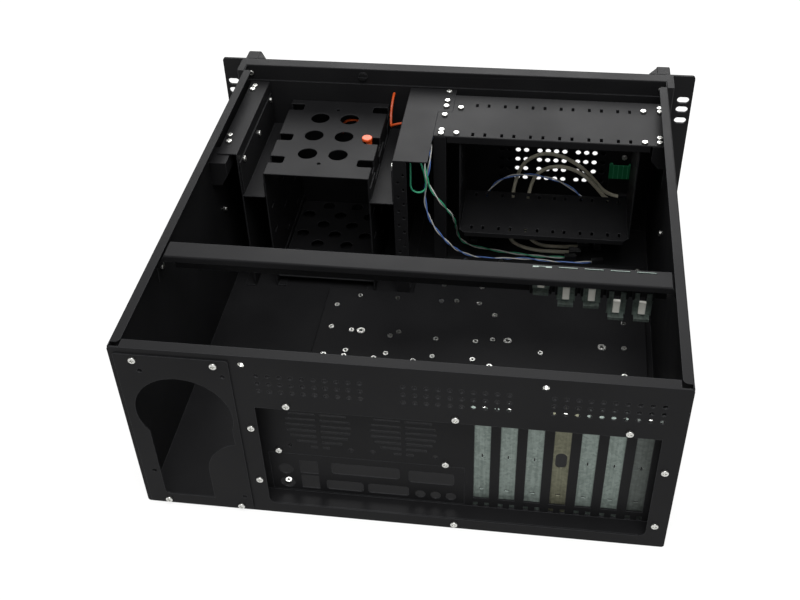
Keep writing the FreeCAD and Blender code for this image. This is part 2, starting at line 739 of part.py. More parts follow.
def make_front_bezel():
    face_rear = bezel_front_y + bezel_face
    face = block(-half_width, half_width, bezel_front_y, face_rear, 0, case_height)
    face = rounded(face, 1.2, lambda e: edge_runs(e, "x") and e.BoundBox.YMax < bezel_front_y + 0.01)
    strip = block(-half_width, half_width, face_rear, tub_front_y, case_height - sheet, case_height)
    base = block(-half_width, half_width, face_rear, tub_front_y, 0, sheet)
    drop = block(-half_width, half_width, tub_front_y - sheet, tub_front_y, front_wall_top - sheet,
                 case_height)
    sides = []
    for side in (-1, 1):
        sides.append(block(side * (half_width - sheet), side * half_width, face_rear, tub_front_y, 0,
                           case_height))
    bezel = joined(face, strip, base, drop, *sides)
    bezel = rounded(bezel, 1.0, lambda e: edge_runs(e, "x") and e.BoundBox.YMin > tub_front_y - 0.01 and
                    e.BoundBox.ZMin > case_height - 0.01)
    holes = front_openings(bezel_front_y - 1, face_rear + 1, slide_gap)
    for row in wall_vent_rows:
        z = row - bezel_slot_drop
        for x0, x1 in bezel_slot_spans:
            slot = block(x0, x1, bezel_front_y - 1, face_rear + 1, z - bezel_slot_half, z + bezel_slot_half)
            holes.append(rounded(slot, bezel_slot_half - 0.1, lambda e: edge_runs(e, "y")))
    for x, z in frame_screws:
        holes.append(hole_for(x, tub_front_y, z, to_rear))
    holes.append(hole_for(stud_x, tub_front_y, stud_z, to_rear))
    return bezel.cut(holes)


# ---- rack ears with cheeks, and handles ----
def make_rack_ear(side):
    near = side * half_width
    far = side * rack_half
    plate = block(near, far, ear_y - ear_thickness, ear_y, 0, case_height)
    plate = rounded(plate, ear_corner, lambda e: edge_runs(e, "y") and abs(e.BoundBox.XMin - far) < 0.01)
    cheek = block(near, near + side * ear_cheek, ear_y, ear_cheek_rear, 0, case_height)
    cheek = rounded(cheek, 1.5, lambda e: edge_runs(e, "z") and e.BoundBox.YMin > ear_cheek_rear - 0.01 and
                    abs(e.BoundBox.XMin - near) > 1)
    ear = joined(plate, cheek)
    holes = []
    for z in ear_slot_heights:
        holes.append(stadium_x(side * ear_slot_x, z, ear_y - ear_thickness - 1, ear_y + 1, ear_slot_length,
                               ear_slot_width))
    return ear.cut(holes)


def make_handle(side):
    """An arched bar of even width, standing on the front of the bezel."""
    foot_y = bezel_front_y
    x0 = side * handle_inner_x
    width = side * (handle_outer_x - handle_inner_x)
    top = case_height
    outline = [(x0, foot_y, 0), (x0, handle_near_y, 0), (x0, handle_far_y, handle_shoulder),
               (x0, handle_far_y, top - handle_shoulder), (x0, handle_near_y, top), (x0, foot_y, top)]
    bow = prism(outline, (width, 0, 0))
    bow = rounded(bow, 8.0, lambda e: edge_runs(e, "x") and e.BoundBox.YMax < foot_y - 1)
    low = handle_bar
    deep = handle_far_y + handle_bar
    grip = [(x0, foot_y + 1, low + 4), (x0, handle_near_y + 9, low + 4), (x0, deep, handle_shoulder + 6),
            (x0, deep, top - handle_shoulder - 6), (x0, handle_near_y + 9, top - low - 4),
            (x0, foot_y + 1, top - low - 4)]
    opening = prism(grip, (width, 0, 0))
    opening = rounded(opening, 4.0, lambda e: edge_runs(e, "x") and e.BoundBox.YMax < foot_y - 1)
    bow = bow.cut(opening)
    bow = rounded(bow, 1.2, lambda e: edge_runs(e, "z") and e.BoundBox.YMax < handle_far_y + 0.5)
    inner = side * handle_inner_x
    web = prism([(inner, foot_y, top - low), (inner - side * handle_web, foot_y, top - low),
                 (inner, handle_near_y + 4, top - low)], (0, 0, low))
    return joined(bow, web)


# ---- supports and hangers of the drive cage ----
def make_left_support():
    wall = block(left_wall_x, left_wall_x + sheet, support_front, left_support_rear, sheet, shelf_top)
    shelf = block(left_wall_x, left_shelf_edge, support_front, left_support_rear, shelf_top - sheet,
                  shelf_top)
    foot = block(left_wall_x, left_wall_x + support_foot, support_front, left_support_rear, sheet, 2 * sheet)
    support = joined(wall, shelf, foot)
    support = rounded(support, 1.0, lambda e: edge_runs(e, "y") and e.BoundBox.ZMin > shelf_top - 0.01 and
                      e.BoundBox.XMax < left_wall_x + 0.01)
    holes = [hole_for(x, y, shelf_top, up) for x, y in left_shelf_screws]
    holes += [hole_for(left_wall_x, y, z, (1, 0, 0)) for y, z in hanger_screws]
    holes += [hole_for(left_wall_x + 7, y, 2 * sheet, up) for y in (-180.0, -90.0)]
    return support.cut(holes)


def make_wall_block():
    """Folded bracket that joins the rear of the left shelf to the side wall, with a bevelled lower edge."""
    face = half_width - sheet
    top = shelf_top - sheet
    y0 = left_support_rear - 12
    y1 = left_support_rear + 14.5
    web = left_wall_x + 7.5
    step = web + 6.5
    shell = prism([(face, y0, top), (web, y0, top), (web, y0, top - 14), (step, y0, top - 25),
                   (face, y0, top - 25)], (0, y1 - y0, 0))
    hollow = prism([(face + 1, y0 - 1, top - sheet), (web + sheet, y0 - 1, top - sheet),
                    (web + sheet, y0 - 1, top - 13.6), (step + 0.6, y0 - 1, top - 25 + sheet),
                    (face + 1, y0 - 1, top - 25 + sheet)], (0, y1 - y0 + 1 - sheet, 0))
    bracket = shell.cut(hollow)
    hooks = [hole_for(x, y, shelf_top, up) for x, y in left_shelf_screws]
    return bracket.cut(hooks)


def make_centre_support():
    x = centre_wall_x
    wall = block(x - sheet, x, support_front, centre_support_rear, sheet, shelf_top)
    shelf = block(centre_shelf_edge, x, support_front, centre_support_rear, shelf_top - sheet, shelf_top)
    tongue = block(tongue_edge, centre_shelf_edge, support_front, tongue_rear, shelf_top - sheet, shelf_top)
    flange = block(x - centre_flange, x, centre_support_rear - sheet, centre_support_rear, sheet, shelf_top)
    foot = block(x - support_foot, x, support_front, centre_support_rear, sheet, 2 * sheet)
    support = joined(wall, shelf, tongue, flange, foot)
    support = rounded(support, 1.0, lambda e: edge_runs(e, "y") and e.BoundBox.ZMin > shelf_top - 0.01 and
                      e.BoundBox.XMin > x - 0.01)
    holes = [hole_for(px, py, shelf_top, up) for px, py in tongue_screws]
    holes += [hole_for(x, y, z, (1, 0, 0)) for y, z in hanger_screws]
    holes += [hole_for(x - 7, y, 2 * sheet, up) for y in (-180.0, -90.0)]
    for row in range(8):
        for offset, lift in ((4.6, 0.0), (9.6, 8.5)):
            holes.append(rod_y(x - offset, 22 + row * 16.5 + lift, centre_support_rear - 3,
                               centre_support_rear + 1, 1.4))
    return support.cut(holes)


def make_cage_hanger(side):
    """U-shaped trough between an upright support and the drive cage."""
    outer = left_wall_x if side > 0 else centre_wall_x
    inner = cage_left if side > 0 else cage_right
    ledge = block(outer, inner, hanger_front, hanger_rear, hanger_ledge_z - sheet, hanger_ledge_z)
    outer_leg = block(outer, outer - side * sheet, hanger_front, hanger_rear - 3, hanger_ledge_z - sheet,
                      hanger_outer_top)
    inner_leg = block(inner, inner + side * sheet, hanger_front, cage_rear - 2, hanger_ledge_z - sheet,
                      hanger_inner_top)
    hanger = joined(ledge, outer_leg, inner_leg)
    notches = []
    for y in (-165.0, -110.0):
        notches.append(block(inner - side, inner + side * 2, y - 14, y + 14, hanger_ledge_z + 4,
                             hanger_inner_top + 1))
    holes = [hole_for(outer - side * sheet, y, z, (side, 0, 0)) for y, z in hanger_screws]
    return hanger.cut(notches + holes)


# ---- drive cage on the left ----
def make_hdd_cage():
    top = block(cage_right, cage_left, cage_front, cage_rear, cage_top - sheet, cage_top)
    walls = []
    for x, inward in ((cage_left, -1), (cage_right, 1)):
        walls.append(block(x, x + inward * sheet, cage_front, cage_rear, sheet, cage_top))
        walls.append(block(x, x + inward * cage_foot, cage_front + 12, cage_rear, sheet, 2 * sheet))
    cage = joined(top, *walls)
    cage = rounded(cage, 1.0, lambda e: edge_runs(e, "y") and e.BoundBox.YLength > 100 and
                   e.BoundBox.ZMin > cage_top - 0.01)
    holes = []
    for y in cage_notch_rows:
        for x, inward in ((cage_left, -1), (cage_right, 1)):
            notch = block(x - inward, x + inward * cage_notch_depth, y - cage_notch_width / 2, y +
                          cage_notch_width / 2,
                          cage_top - 8, cage_top + 1)
            deep = x + inward * cage_notch_depth
            notch = rounded(notch, 3.0, lambda e: edge_runs(e, "z") and abs(e.BoundBox.XMin - deep) < 0.01)
            holes.append(notch)
    for x in cage_hole_columns:
        for y in cage_hole_rows:
            holes.append(rod_z(x, y, cage_top - 3, cage_top + 1, cage_hole_radius))
    holes.append(rod_z(115.1, -188.2, cage_top - 3, cage_top + 1, 2.0))
    holes.append(rod_z(116.2, -88.4, cage_top - 3, cage_top + 1, 2.0))
    for z in (32.0, 62.0, 92.0):
        for y in (-176.0, -128.0, -84.0):
            holes.append(block(cage_right - 1, cage_left + 1, y - 5, y + 5, z - 1.8, z + 1.8))
    for x, inward in ((cage_left, -1), (cage_right, 1)):
        for y in (-150.0, -85.0):
            holes.append(hole_for(x + inward * 5, y, 2 * sheet, up))
    return cage.cut(holes)


def make_hdd_cage_floor():
    low = cage_floor_top - sheet
    left = cage_left - sheet
    right = cage_right + sheet
    plate = block(right, left, cage_front + 1, cage_rear - 4, low, cage_floor_top)
    folds = [block(left - sheet, left, cage_front + 1, cage_rear - 4, low, cage_floor_top + 8),
             block(right, right + sheet, cage_front + 1, cage_rear - 4, low, cage_floor_top + 8)]
    plate = joined(plate, *folds)
    holes = []
    for columns, rows in ((floor_pair_columns, floor_pair_rows), (floor_trio_columns, floor_trio_rows)):
        for x in columns:
            for y in rows:
                holes.append(rod_z(x, y, low - 1, cage_floor_top + 1, cage_floor_hole_radius))
    return plate.cut(holes)


# ---- drive bay on the right ----
def bay_slots(rows, z0, z1):
    slots = []
    for x in bay_slot_columns:
        for y in rows:
            slots.append(block(x - bay_slot_width / 2, x + bay_slot_width / 2, y - bay_slot_length / 2,
                               y + bay_slot_length / 2, z0, z1))
    return slots


def make_bay_bracket():
    low = shelf_top - sheet
    front_part = block(bracket_right, tongue_edge - slide_gap, bracket_front, tongue_rear + slide_gap, low,
                       shelf_top)
    rear_part = block(bracket_right, centre_shelf_edge - slide_gap, tongue_rear + slide_gap, bracket_rear,
                      low, shelf_top)
    rear_lip = block(bracket_right + rail_width + 1, post_right - 1, bracket_rear - sheet, bracket_rear,
                     low - bracket_lip, shelf_top)
    bracket = joined(front_part, rear_part, rear_lip)
    bracket = rounded(bracket, 1.0, lambda e: edge_runs(e, "x") and e.BoundBox.XLength > 150 and
                      e.BoundBox.ZMin > shelf_top - 0.01 and e.BoundBox.YMin > bracket_rear - 0.01)
    holes = bay_slots(bracket_slot_rows, low - 1, shelf_top + 1)
    for x, y in bracket_left_screws + bracket_right_screws + bay_cage_screws:
        holes.append(hole_for(x, y, shelf_top, up))
    return bracket.cut(holes)


def make_bay_cage():
    top = shelf_top - sheet
    low = bay_floor_top - sheet
    floor = block(bay_right, bay_left, bay_front, bay_rear, low, bay_floor_top)
    pieces = [block(bay_right + bay_chamfer, bay_left - bay_chamfer, bay_rear - sheet, bay_rear, low - 4,
                    bay_floor_top)]
    for x, outward in ((bay_left, 1), (bay_right, -1)):
        pieces.append(block(x - outward * sheet, x, bay_front, bracket_rear - 2, low, top))
        pieces.append(block(x - outward * sheet, x + outward * bay_flange, bay_front + 2, bracket_rear - 2,
                            top - sheet, top))
    cage = joined(floor, *pieces)
    corners = []
    for x, outward in ((bay_left, 1), (bay_right, -1)):
        outline = [(x + outward, bay_rear + 1, low - 5), (x + outward, bay_rear - bay_chamfer, low - 5),
                   (x - outward * bay_chamfer, bay_rear + 1, low - 5)]
        corners.append(prism(outline, (0, 0, 7)))
    holes = corners + bay_slots(bay_floor_slot_rows, low - 1, bay_floor_top + 1)
    for x, y in bay_cage_screws:
        holes.append(hole_for(x, y, shelf_top, up))
    for y in (-172.0, -130.0):
        for z in (70.0, 100.0, 130.0):
            holes.append(block(bay_right - 2, bay_left + 2, y - 5, y + 5, z - 1.6, z + 1.6))
    return cage.cut(holes)


def make_bay_post():
    """Channel on the tray under the bracket's left end, with a long cap reaching to the front wall."""
    top = shelf_top - sheet
    web = block(post_right, post_left, bracket_rear - sheet, bracket_rear, tray_top, top)
    legs = [block(post_right, post_right + sheet, bracket_rear - post_depth, bracket_rear, tray_top, top),
            block(post_left - sheet, post_left, bracket_rear - post_depth, bracket_rear, tray_top, top)]
    cap = block(post_right, post_left, support_front, bracket_rear, top - sheet, top)
    post = joined(web, cap, *legs)
    holes = [hole_for(x, y, shelf_top, up) for x, y in tongue_screws + bracket_left_screws]
    return post.cut(holes)


def make_bay_rail():
    face = -(half_width - sheet)
    top = shelf_top - sheet
    wall = block(face, face + sheet, bracket_front, bracket_rear, top - rail_drop, top)
    cap = block(face, face + rail_width, bracket_front, bracket_rear, top - sheet, top)
    end = block(face, face + rail_width, bracket_rear - sheet, bracket_rear, top - 24, top)
    bevel = prism([(face + rail_width + 1, bracket_rear - 3, top - 25),
                   (face + rail_width + 1, bracket_rear - 3, top - 14),
                   (face + rail_width - 8, bracket_rear - 3, top - 25)], (0, 4, 0))
    rail = joined(wall, cap, end.cut(bevel))
    holes = [hole_for(x, y, shelf_top, up) for x, y in bracket_right_screws]
    return rail.cut(holes)


# ---- front controls ----
def make_button(z, radius, travel):
    cap_front = bezel_front_y - cap_proud
    switch_front = front_wall_y - sheet - switch_nose
    cap = rod_y(button_x, z, cap_front, cap_front + cap_length, radius)
    cap = rounded(cap, 0.8, lambda e: e.BoundBox.YMax < cap_front + 0.01)
    stem = rod_y(button_x, z, cap_front + cap_length, switch_front - travel - slide_gap, radius / 2)
    return joined(cap, stem)


def make_switch_bodies():
    switches = []
    for z, radius in ((power_z, power_radius), (reset_z, reset_radius)):
        flange = rod_y(button_x, z, front_wall_y, front_wall_y + 1.5, radius + switch_flange)
        body = rod_y(button_x, z, front_wall_y, front_wall_y + switch_length, radius)
        nose = rod_y(button_x, z, front_wall_y - sheet - switch_nose, front_wall_y, radius)
        switches.append(joined(flange, body, nose))
    return Part.makeCompound(switches)


def make_status_leds():
    lamps = []
    for z in led_heights:
        lens = rod_y(led_x, z, bezel_front_y - 1, front_wall_y, led_radius)
        collar = rod_y(led_x, z, front_wall_y, front_wall_y + 3, led_radius + 1.2)
        lamps.append(joined(lens, collar))
    return Part.makeCompound(lamps)


def make_usb_board():
    board = block(board_right, board_left, board_rear_y - board_thickness, board_rear_y, board_bottom,
                  board_top)
    spacers = []
    for x in (board_left - 2, board_right + 2):
        for z in (board_bottom + 2, board_top - 2):
            spacers.append(rod_y(x, z, front_wall_y, board_rear_y, 1.8))
    return joined(board, *spacers)


def make_usb_sockets():
    sockets = []
    for z in usb_heights:
        half_w = usb_width / 2
        half_h = usb_height / 2
        shell = block(usb_x - half_w, usb_x + half_w, bezel_front_y, board_rear_y - board_thickness, z -
                      half_h, z + half_h)
        mouth = block(usb_x - half_w + 0.5, usb_x + half_w - 0.5, bezel_front_y - 1, bezel_front_y + 11,
                      z - half_h + 0.5, z + half_h - 0.5)
        tongue = block(usb_x - 5, usb_x + 5, bezel_front_y + 1, bezel_front_y + 11.5, z + 0.2, z + 1.9)
        sockets.append(joined(shell.cut(mouth), tongue))
    return Part.makeCompound(sockets)


# ---- leads ----
def lead_tube(name, points, radius):
    """Round tube of straight runs joined by tangent arcs, each arc as wide as its two runs allow."""
    stops = [Vector(*p) for p in points]
    edges = []
    bends = []
    here = stops[0]
    for k in range(1, len(stops) - 1):
        back = stops[k - 1] - stops[k]
        ahead = stops[k + 1] - stops[k]
        turn = math.pi - back.getAngle(ahead)
        reach = 0.45 * min(back.Length, ahead.Length)
        bend = reach / math.tan(turn / 2)
        bends.append(round(bend, 1))
        back.normalize()
        ahead.normalize()
        inward = back + ahead
        inward.normalize()
        first = stops[k] + back * reach
        last = stops[k] + ahead * reach
        middle = stops[k] + inward * (bend / math.cos(turn / 2) - bend)
        edges.append(Part.LineSegment(here, first).toShape())
        edges.append(Part.Arc(first, middle, last).toShape())
        here = last
    edges.append(Part.LineSegment(here, stops[-1]).toShape())
    path = Part.Wire(edges)
    ring = Part.Wire(Part.makeCircle(radius, stops[0], stops[1] - stops[0]))
    tube = path.makePipeShell([ring], True, False)
    print(name, "length", round(path.Length, 1), "least bend", min(bends), "all", bends)
    return tube


usb_lead_radius = 2.0
wire_radius = 1.3
thin_wire_radius = 0.9
usb_rest_z = sheet + usb_lead_radius + 0.2
wire_rest_z = sheet + wire_radius + 0.2
switch_rear_y = front_wall_y + switch_length
board_plug = 4.8
cap_x = 76.5                  # the orange cap in the drive cage's right notch
cap_y = -135.4
cap_radius = 5.2
cap_height = 2.4
cap_stem_x = 75.0
cap_stem_radius = 3.2
cap_stem = 9.0

usb_lead_a_route = [(-178, -197.6, 44.3), (-165, -197.6, 46.5), (-151, -197.6, 64.5), (-136, -197.6, 80),
                    (-117, -197.6, 91.5), (-96, -197.6, 94.5), (-77, -197.6, 82.5), (-69, -197.6, 58),
                    (-66.5, -195.5, 33), (-64, -184, 13), (-66, -165, usb_rest_z), (-82, -152, usb_rest_z),
                    (-106, -148, usb_rest_z), (-130, -149.5, usb_rest_z)]
usb_lead_b_route = [(-178, -197.6, 36), (-167, -195.5, 40), (-155, -192.5, 57), (-143, -191.5, 71),
                    (-127, -191.5, 81), (-107, -191.5, 83), (-90, -191.5, 72), (-84, -191.5, 48),
                    (-82, -184, 24), (-84, -171, 7), (-97, -158.5, usb_rest_z), (-118, -157, usb_rest_z),
                    (-139, -160, usb_rest_z)]
power_lead_route = [(button_x, switch_rear_y, power_z), (24, -170, 141), (21, -146, 147), (17.5, -119, 151),
                    (14.5, -99, 149.5), (13.5, -88, 139.5), (9, -88.5, 118), (-1, -94, 98), (-10, -104, 78),
                    (-12.5, -117, 60), (-12.5, -130, 43), (-12.8, -140, 27), (-16, -147.5, 12),
                    (-26, -151.5, wire_rest_z), (-41, -148.5, wire_rest_z), (-60, -144, wire_rest_z),
                    (-82, -142, wire_rest_z), (-104, -139.5, wire_rest_z), (-126, -141, wire_rest_z)]
led_lead_route = [(led_x, front_wall_y + 3, 134), (12.2, -180, 136), (12, -156, 143), (11.6, -132, 149),
                  (10.4, -110, 150.4), (9.5, -99, 142), (12.5, -98.5, 125), (15.5, -98.5, 106),
                  (14.5, -98.5, 87), (9.5, -99.5, 69), (1, -103, 52), (-8.5, -110, 34), (-16.5, -121, 18),
                  (-30, -133, wire_rest_z), (-45, -131.5, wire_rest_z), (-63, -132.5, wire_rest_z),
                  (-86, -135.5, wire_rest_z), (-109, -133, wire_rest_z), (-132, -131.5, wire_rest_z),
                  (-154, -136, wire_rest_z)]
reset_lead_route = [(button_x, switch_rear_y, reset_z), (26, -170, 120), (29, -147, 126), (30, -124, 134),
                    (29.5, -106, 141), (28.3, -95.5, 138), (27.8, -92, 128), (28.2, -91.5, 117.5),
                    (26, -91.5, 111.9), (20.5, -92, 109.6), (15, -92.5, 111.9), (12.8, -93, 117.5),
                    (14.1, -94, 128), (17.3, -95.8, 139), (20.8, -98.5, 148), (22, -100.5, 154)]
arch_lead_route = [(-160, -170, wire_rest_z), (-158, -183, 9), (-152, -187, 27), (-141, -187, 48),
                   (-124, -187, 63), (-104, -187, 71), (-83, -187, 74), (-63, -187, 71), (-47, -187, 60),
                   (-36, -187, 38), (-29, -183, 16), (-29, -169, wire_rest_z)]
orange_lead_route = [(59, front_wall_y, 152), (59.3, -193, 150), (60, -184, 137), (58, -172, 132),
                     (54.5, -162, 142), (centre_wall_x + sheet, -159, 146)]
drive_lead_route = [(cap_stem_x, cap_y - cap_stem_radius, 134.5), (76, -151, 133.5), (79.5, -164, 132.5),
                    (85, -177, 131.5), (95, -186.5, 130.5), (107, -189, 128), (114, -191, 119),
                    (116, -195, 108.5), (116, front_wall_y, 101)]


def plug_block(x0, x1, y0, y1, z0, z1):
    body = block(x0, x1, y0, y1, z0, z1)
    return rounded(body, 0.5, lambda e: edge_runs(e, "z") or edge_runs(e, "x"))


def turned_plug(route, length, width, height):
    """A plug lying on the floor past the last point of a route, in line with its last run."""
    end = Vector(*route[-1])
    along = end - Vector(*route[-2])
    body = block(0, length, -width / 2, width / 2, sheet - end.z, sheet - end.z + height)
    angle = math.degrees(math.atan2(along.y, along.x))
    body.Placement = FreeCAD.Placement(end, FreeCAD.Rotation(Vector(0, 0, 1), angle))
    return body


def make_lead_plugs():
    plugs = [plug_block(-188, -178, board_rear_y, board_rear_y + board_plug, 41.2, 47.4),
             plug_block(-188, -178, board_rear_y, board_rear_y + board_plug, 33.0, 39.0),
             plug_block(18, 26, -104.5, -96.5, 154, shelf_top - sheet),
             plug_block(-163.5, -156.5, -170, -158, sheet, sheet + 5),
             plug_block(-32.5, -25.5, -169, -157.5, sheet, sheet + 5)]
    plugs.append(turned_plug(usb_lead_a_route, 12, 8, 6))
    plugs.append(turned_plug(usb_lead_b_route, 12, 8, 6))
    plugs.append(turned_plug(power_lead_route, 12, 5, 5))
    plugs.append(turned_plug(led_lead_route, 12, 5, 5))
    return Part.makeCompound(plugs)


def make_orange_cap():
    flange = rod_z(cap_x, cap_y, cage_top, cage_top + cap_height, cap_radius)
    flange = rounded(flange, 0.9, lambda e: e.BoundBox.ZMin > cage_top + cap_height - 0.1)
    stem = rod_z(cap_stem_x, cap_y, cage_top - cap_stem, cage_top, cap_stem_radius)
    return joined(flange, stem)


# ---- screws and nuts ----
def clinch_nut(x, y, barrel_radius, flange_radius, thread_radius):
    """A plated nut clinched into the tray: its barrel fills the tray's hole and its flange lies on top."""
    barrel = rod_z(x, y, tray_top - nut_depth, tray_top, barrel_radius)
    flange = rod_z(x, y, tray_top, tray_top + nut_flange, flange_radius)
    return joined(barrel, flange).cut(rod_z(x, y, 0, tray_top + 2, thread_radius))


def lid_nut(x, z):
    inner_y = rear_y - sheet
    return rod_y(x, z, inner_y - lid_nut_depth, inner_y,
                 lid_nut_outer).cut(rod_y(x, z, inner_y - 9, rear_y, lid_nut_radius))


def make_rear_screws():
    screws = [pan_head(x, rear_y + sheet, z, to_rear) for x, z in psu_screw_places]
    screws += [pan_head(x, rear_y, z, to_rear, 3.4) for x, z in pan_flange_screw_places]
    screws += [pan_head(x, pan_rear_y, z, to_rear, 2.4) for x, z in pan_screw_places]
    screws += [pan_head(slot_x(i), pan_rear_y - sheet + 5, pan_top + thin_sheet, up,
                        3.0) for i in range(slot_count)]
    screws += [lid_nut(x, z) for x, z in lid_nut_places]
    return Part.makeCompound(screws)


def make_inner_screws():
    screws = []
    bracket_screws = bracket_left_screws + bracket_right_screws
    for x, y in left_shelf_screws + tongue_screws + bracket_screws + bay_cage_screws:
        screws.append(pan_head(x, y, shelf_top, up))
    for y, z in hanger_screws:
        screws.append(pan_head(left_wall_x - sheet, y, z, (-1, 0, 0)))
        screws.append(pan_head(centre_wall_x + sheet, y, z, (1, 0, 0)))
    for side in (-1, 1):
        for y, z in ((16.6, 91.0), (-74.7, 90.5)):
            screws.append(pan_head(side * (half_width - sheet), y, z, (-side, 0, 0), 2.0))
        screws.append(pan_head(side * (half_width - 2 * sheet), 100.6, brace_end_z - 11, (-side, 0, 0), 2.2))
    for x, y in tray_screws:
        screws.append(pan_head(x, y, tray_top, up, 3.0))
    screws.append(pan_head(board_screw[0], front_wall_y, board_screw[1], to_rear))
    screws += [pan_head(x, tub_front_y, z, to_rear) for x, z in frame_screws]
    for x, y in nut_places():
        screws.append(clinch_nut(x, y, tray_hole_radius, nut_flange_radius, nut_thread_radius))
    for x, y in key_nut_places:
        screws.append(clinch_nut(x, y, tray_key_radius, key_nut_radius, nut_thread_radius + 0.5))
    return Part.makeCompound(screws)


def make_bezel_stud():
    """Black plug with a slot, standing on the rear of the bezel's drop."""
    stud = rod_y(stud_x, stud_z, tub_front_y, tub_front_y + 2.4, stud_radius)
    stud = rounded(stud, 0.6, lambda e: e.BoundBox.YMin > tub_front_y + 2.3)
    shank = rod_y(stud_x, stud_z, tub_front_y - 3.5, tub_front_y, shank_radius)
    groove = block(stud_x - 5, stud_x + 5, tub_front_y + 1.6, tub_front_y + 3, stud_z - 0.5, stud_z + 0.5)
    return joined(stud, shank).cut(groove)


# ---- all nodes ----
save("chassis_tub", make_chassis_tub())
save("motherboard_tray", make_motherboard_tray())
save("rear_panel", make_rear_panel())
save("psu_plate", make_psu_plate())
save("rear_pan", make_rear_pan())
save("io_shield", make_io_shield())
for number in range(slot_count):
    save("slot_cover_" + str(number + 1), make_slot_cover(number))
save("cross_brace", make_cross_brace())
save("clamp_guides", make_clamp_guides())
for number in range(len(clamp_feet_z)):
    save("card_clamp_" + str(number + 1), make_card_clamp(number))
    save("clamp_pad_" + str(number + 1), make_clamp_pad(number))
save("front_wall", make_front_wall())
save("front_bezel", Part.makeCompound([make_front_bezel(), make_bezel_stud()]))
save("rack_ear_left", make_rack_ear(1))
save("rack_ear_right", make_rack_ear(-1))
save("handle_left", make_handle(1))
save("handle_right", make_handle(-1))
save("left_support", make_left_support())
save("wall_block_left", make_wall_block())
save("centre_support", make_centre_support())
save("cage_hanger_left", make_cage_hanger(1))
save("cage_hanger_right", make_cage_hanger(-1))
save("hdd_cage", make_hdd_cage())
save("hdd_cage_floor", make_hdd_cage_floor())
save("bay_bracket", make_bay_bracket())
save("bay_cage", make_bay_cage())
save("bay_post_left", make_bay_post())
save("bay_rail_right", make_bay_rail())
save("power_button", make_button(power_z, power_radius, power_travel))
save("reset_button", make_button(reset_z, reset_radius, reset_travel))
save("switch_bodies", make_switch_bodies())
save("status_leds", make_status_leds())
save("usb_board", make_usb_board())
save("usb_sockets", make_usb_sockets())
save("usb_lead_a", lead_tube("usb_lead_a", usb_lead_a_route, usb_lead_radius))
save("usb_lead_b", lead_tube("usb_lead_b", usb_lead_b_route, usb_lead_radius))
save("power_lead", lead_tube("power_lead", power_lead_route, wire_radius))
save("led_lead", lead_tube("led_lead", led_lead_route, wire_radius))
save("reset_lead", lead_tube("reset_lead", reset_lead_route, thin_wire_radius))
save("arch_lead", lead_tube("arch_lead", arch_lead_route, wire_radius))
save("orange_lead", lead_tube("orange_lead", orange_lead_route, wire_radius))
save("drive_lead", lead_tube("drive_lead", drive_lead_route, wire_radius))
save("lead_plugs", make_lead_plugs())
save("rear_screws", make_rear_screws())
save("inner_screws", make_inner_screws())
save("orange_cap", make_orange_cap())
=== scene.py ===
import bpy
import bmesh
import math
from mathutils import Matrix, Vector


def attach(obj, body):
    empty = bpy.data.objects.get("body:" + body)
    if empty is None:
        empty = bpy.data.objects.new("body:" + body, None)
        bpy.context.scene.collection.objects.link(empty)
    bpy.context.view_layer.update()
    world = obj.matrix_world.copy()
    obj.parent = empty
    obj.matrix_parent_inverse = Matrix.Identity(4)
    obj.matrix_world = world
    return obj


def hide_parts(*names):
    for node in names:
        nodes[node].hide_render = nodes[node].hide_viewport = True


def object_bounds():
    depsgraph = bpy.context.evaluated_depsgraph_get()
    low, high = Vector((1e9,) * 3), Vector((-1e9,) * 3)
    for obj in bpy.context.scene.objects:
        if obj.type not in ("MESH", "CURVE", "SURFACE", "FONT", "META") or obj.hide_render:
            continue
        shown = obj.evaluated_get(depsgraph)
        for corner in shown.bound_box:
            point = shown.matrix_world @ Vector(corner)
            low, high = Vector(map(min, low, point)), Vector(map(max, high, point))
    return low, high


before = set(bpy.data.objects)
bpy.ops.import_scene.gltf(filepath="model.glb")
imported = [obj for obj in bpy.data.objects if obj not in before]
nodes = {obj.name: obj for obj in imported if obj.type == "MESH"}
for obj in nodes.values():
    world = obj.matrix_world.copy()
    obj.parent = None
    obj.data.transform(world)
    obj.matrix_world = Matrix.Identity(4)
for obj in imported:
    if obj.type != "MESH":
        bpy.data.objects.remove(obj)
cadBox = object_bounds()
mmPerMetre = 1000
print("frame loaded,", len(nodes), "nodes")


# colours are written as sRGB hex and turned to linear here
def hexColour(text):
    parts = [int(text[i:i + 2], 16) / 255 for i in (0, 2, 4)]
    linear = [p / 12.92 if p <= 0.04045 else ((p + 0.055) / 1.055) ** 2.4 for p in parts]
    return (*linear, 1.0)


def grey(level):
    return (level, level, level, 1.0)


# adds a node: a value that is a socket is linked, any other is set on the input, and stops are
# the places and colours along a colour ramp. A Mix node's inputs go by number, 0 the factor,
# 2 and 3 its floats, 6 and 7 its colours
def addNode(tree, kind, settings=None, inputs=None, stops=()):
    node = tree.nodes.new(kind)
    for name, value in (settings or {}).items():
        setattr(node, name, value)
    for name, value in (inputs or {}).items():
        if isinstance(value, bpy.types.NodeSocket):
            tree.links.new(value, node.inputs[name])
        else:
            node.inputs[name].default_value = value
    if stops:
        elements = node.color_ramp.elements
        for end in (0, -1):
            elements[end].position, elements[end].color = stops[end]
        for place, colour in stops[1:-1]:
            elements.new(place).color = colour
    return node


def newMaterial(name):
    material = bpy.data.materials.new(name)
    material.use_nodes = True
    tree = material.node_tree
    tree.nodes.clear()
    output = addNode(tree, "ShaderNodeOutputMaterial")
    coords = addNode(tree, "ShaderNodeTexCoord").outputs["Object"]
    return material, tree, output, coords


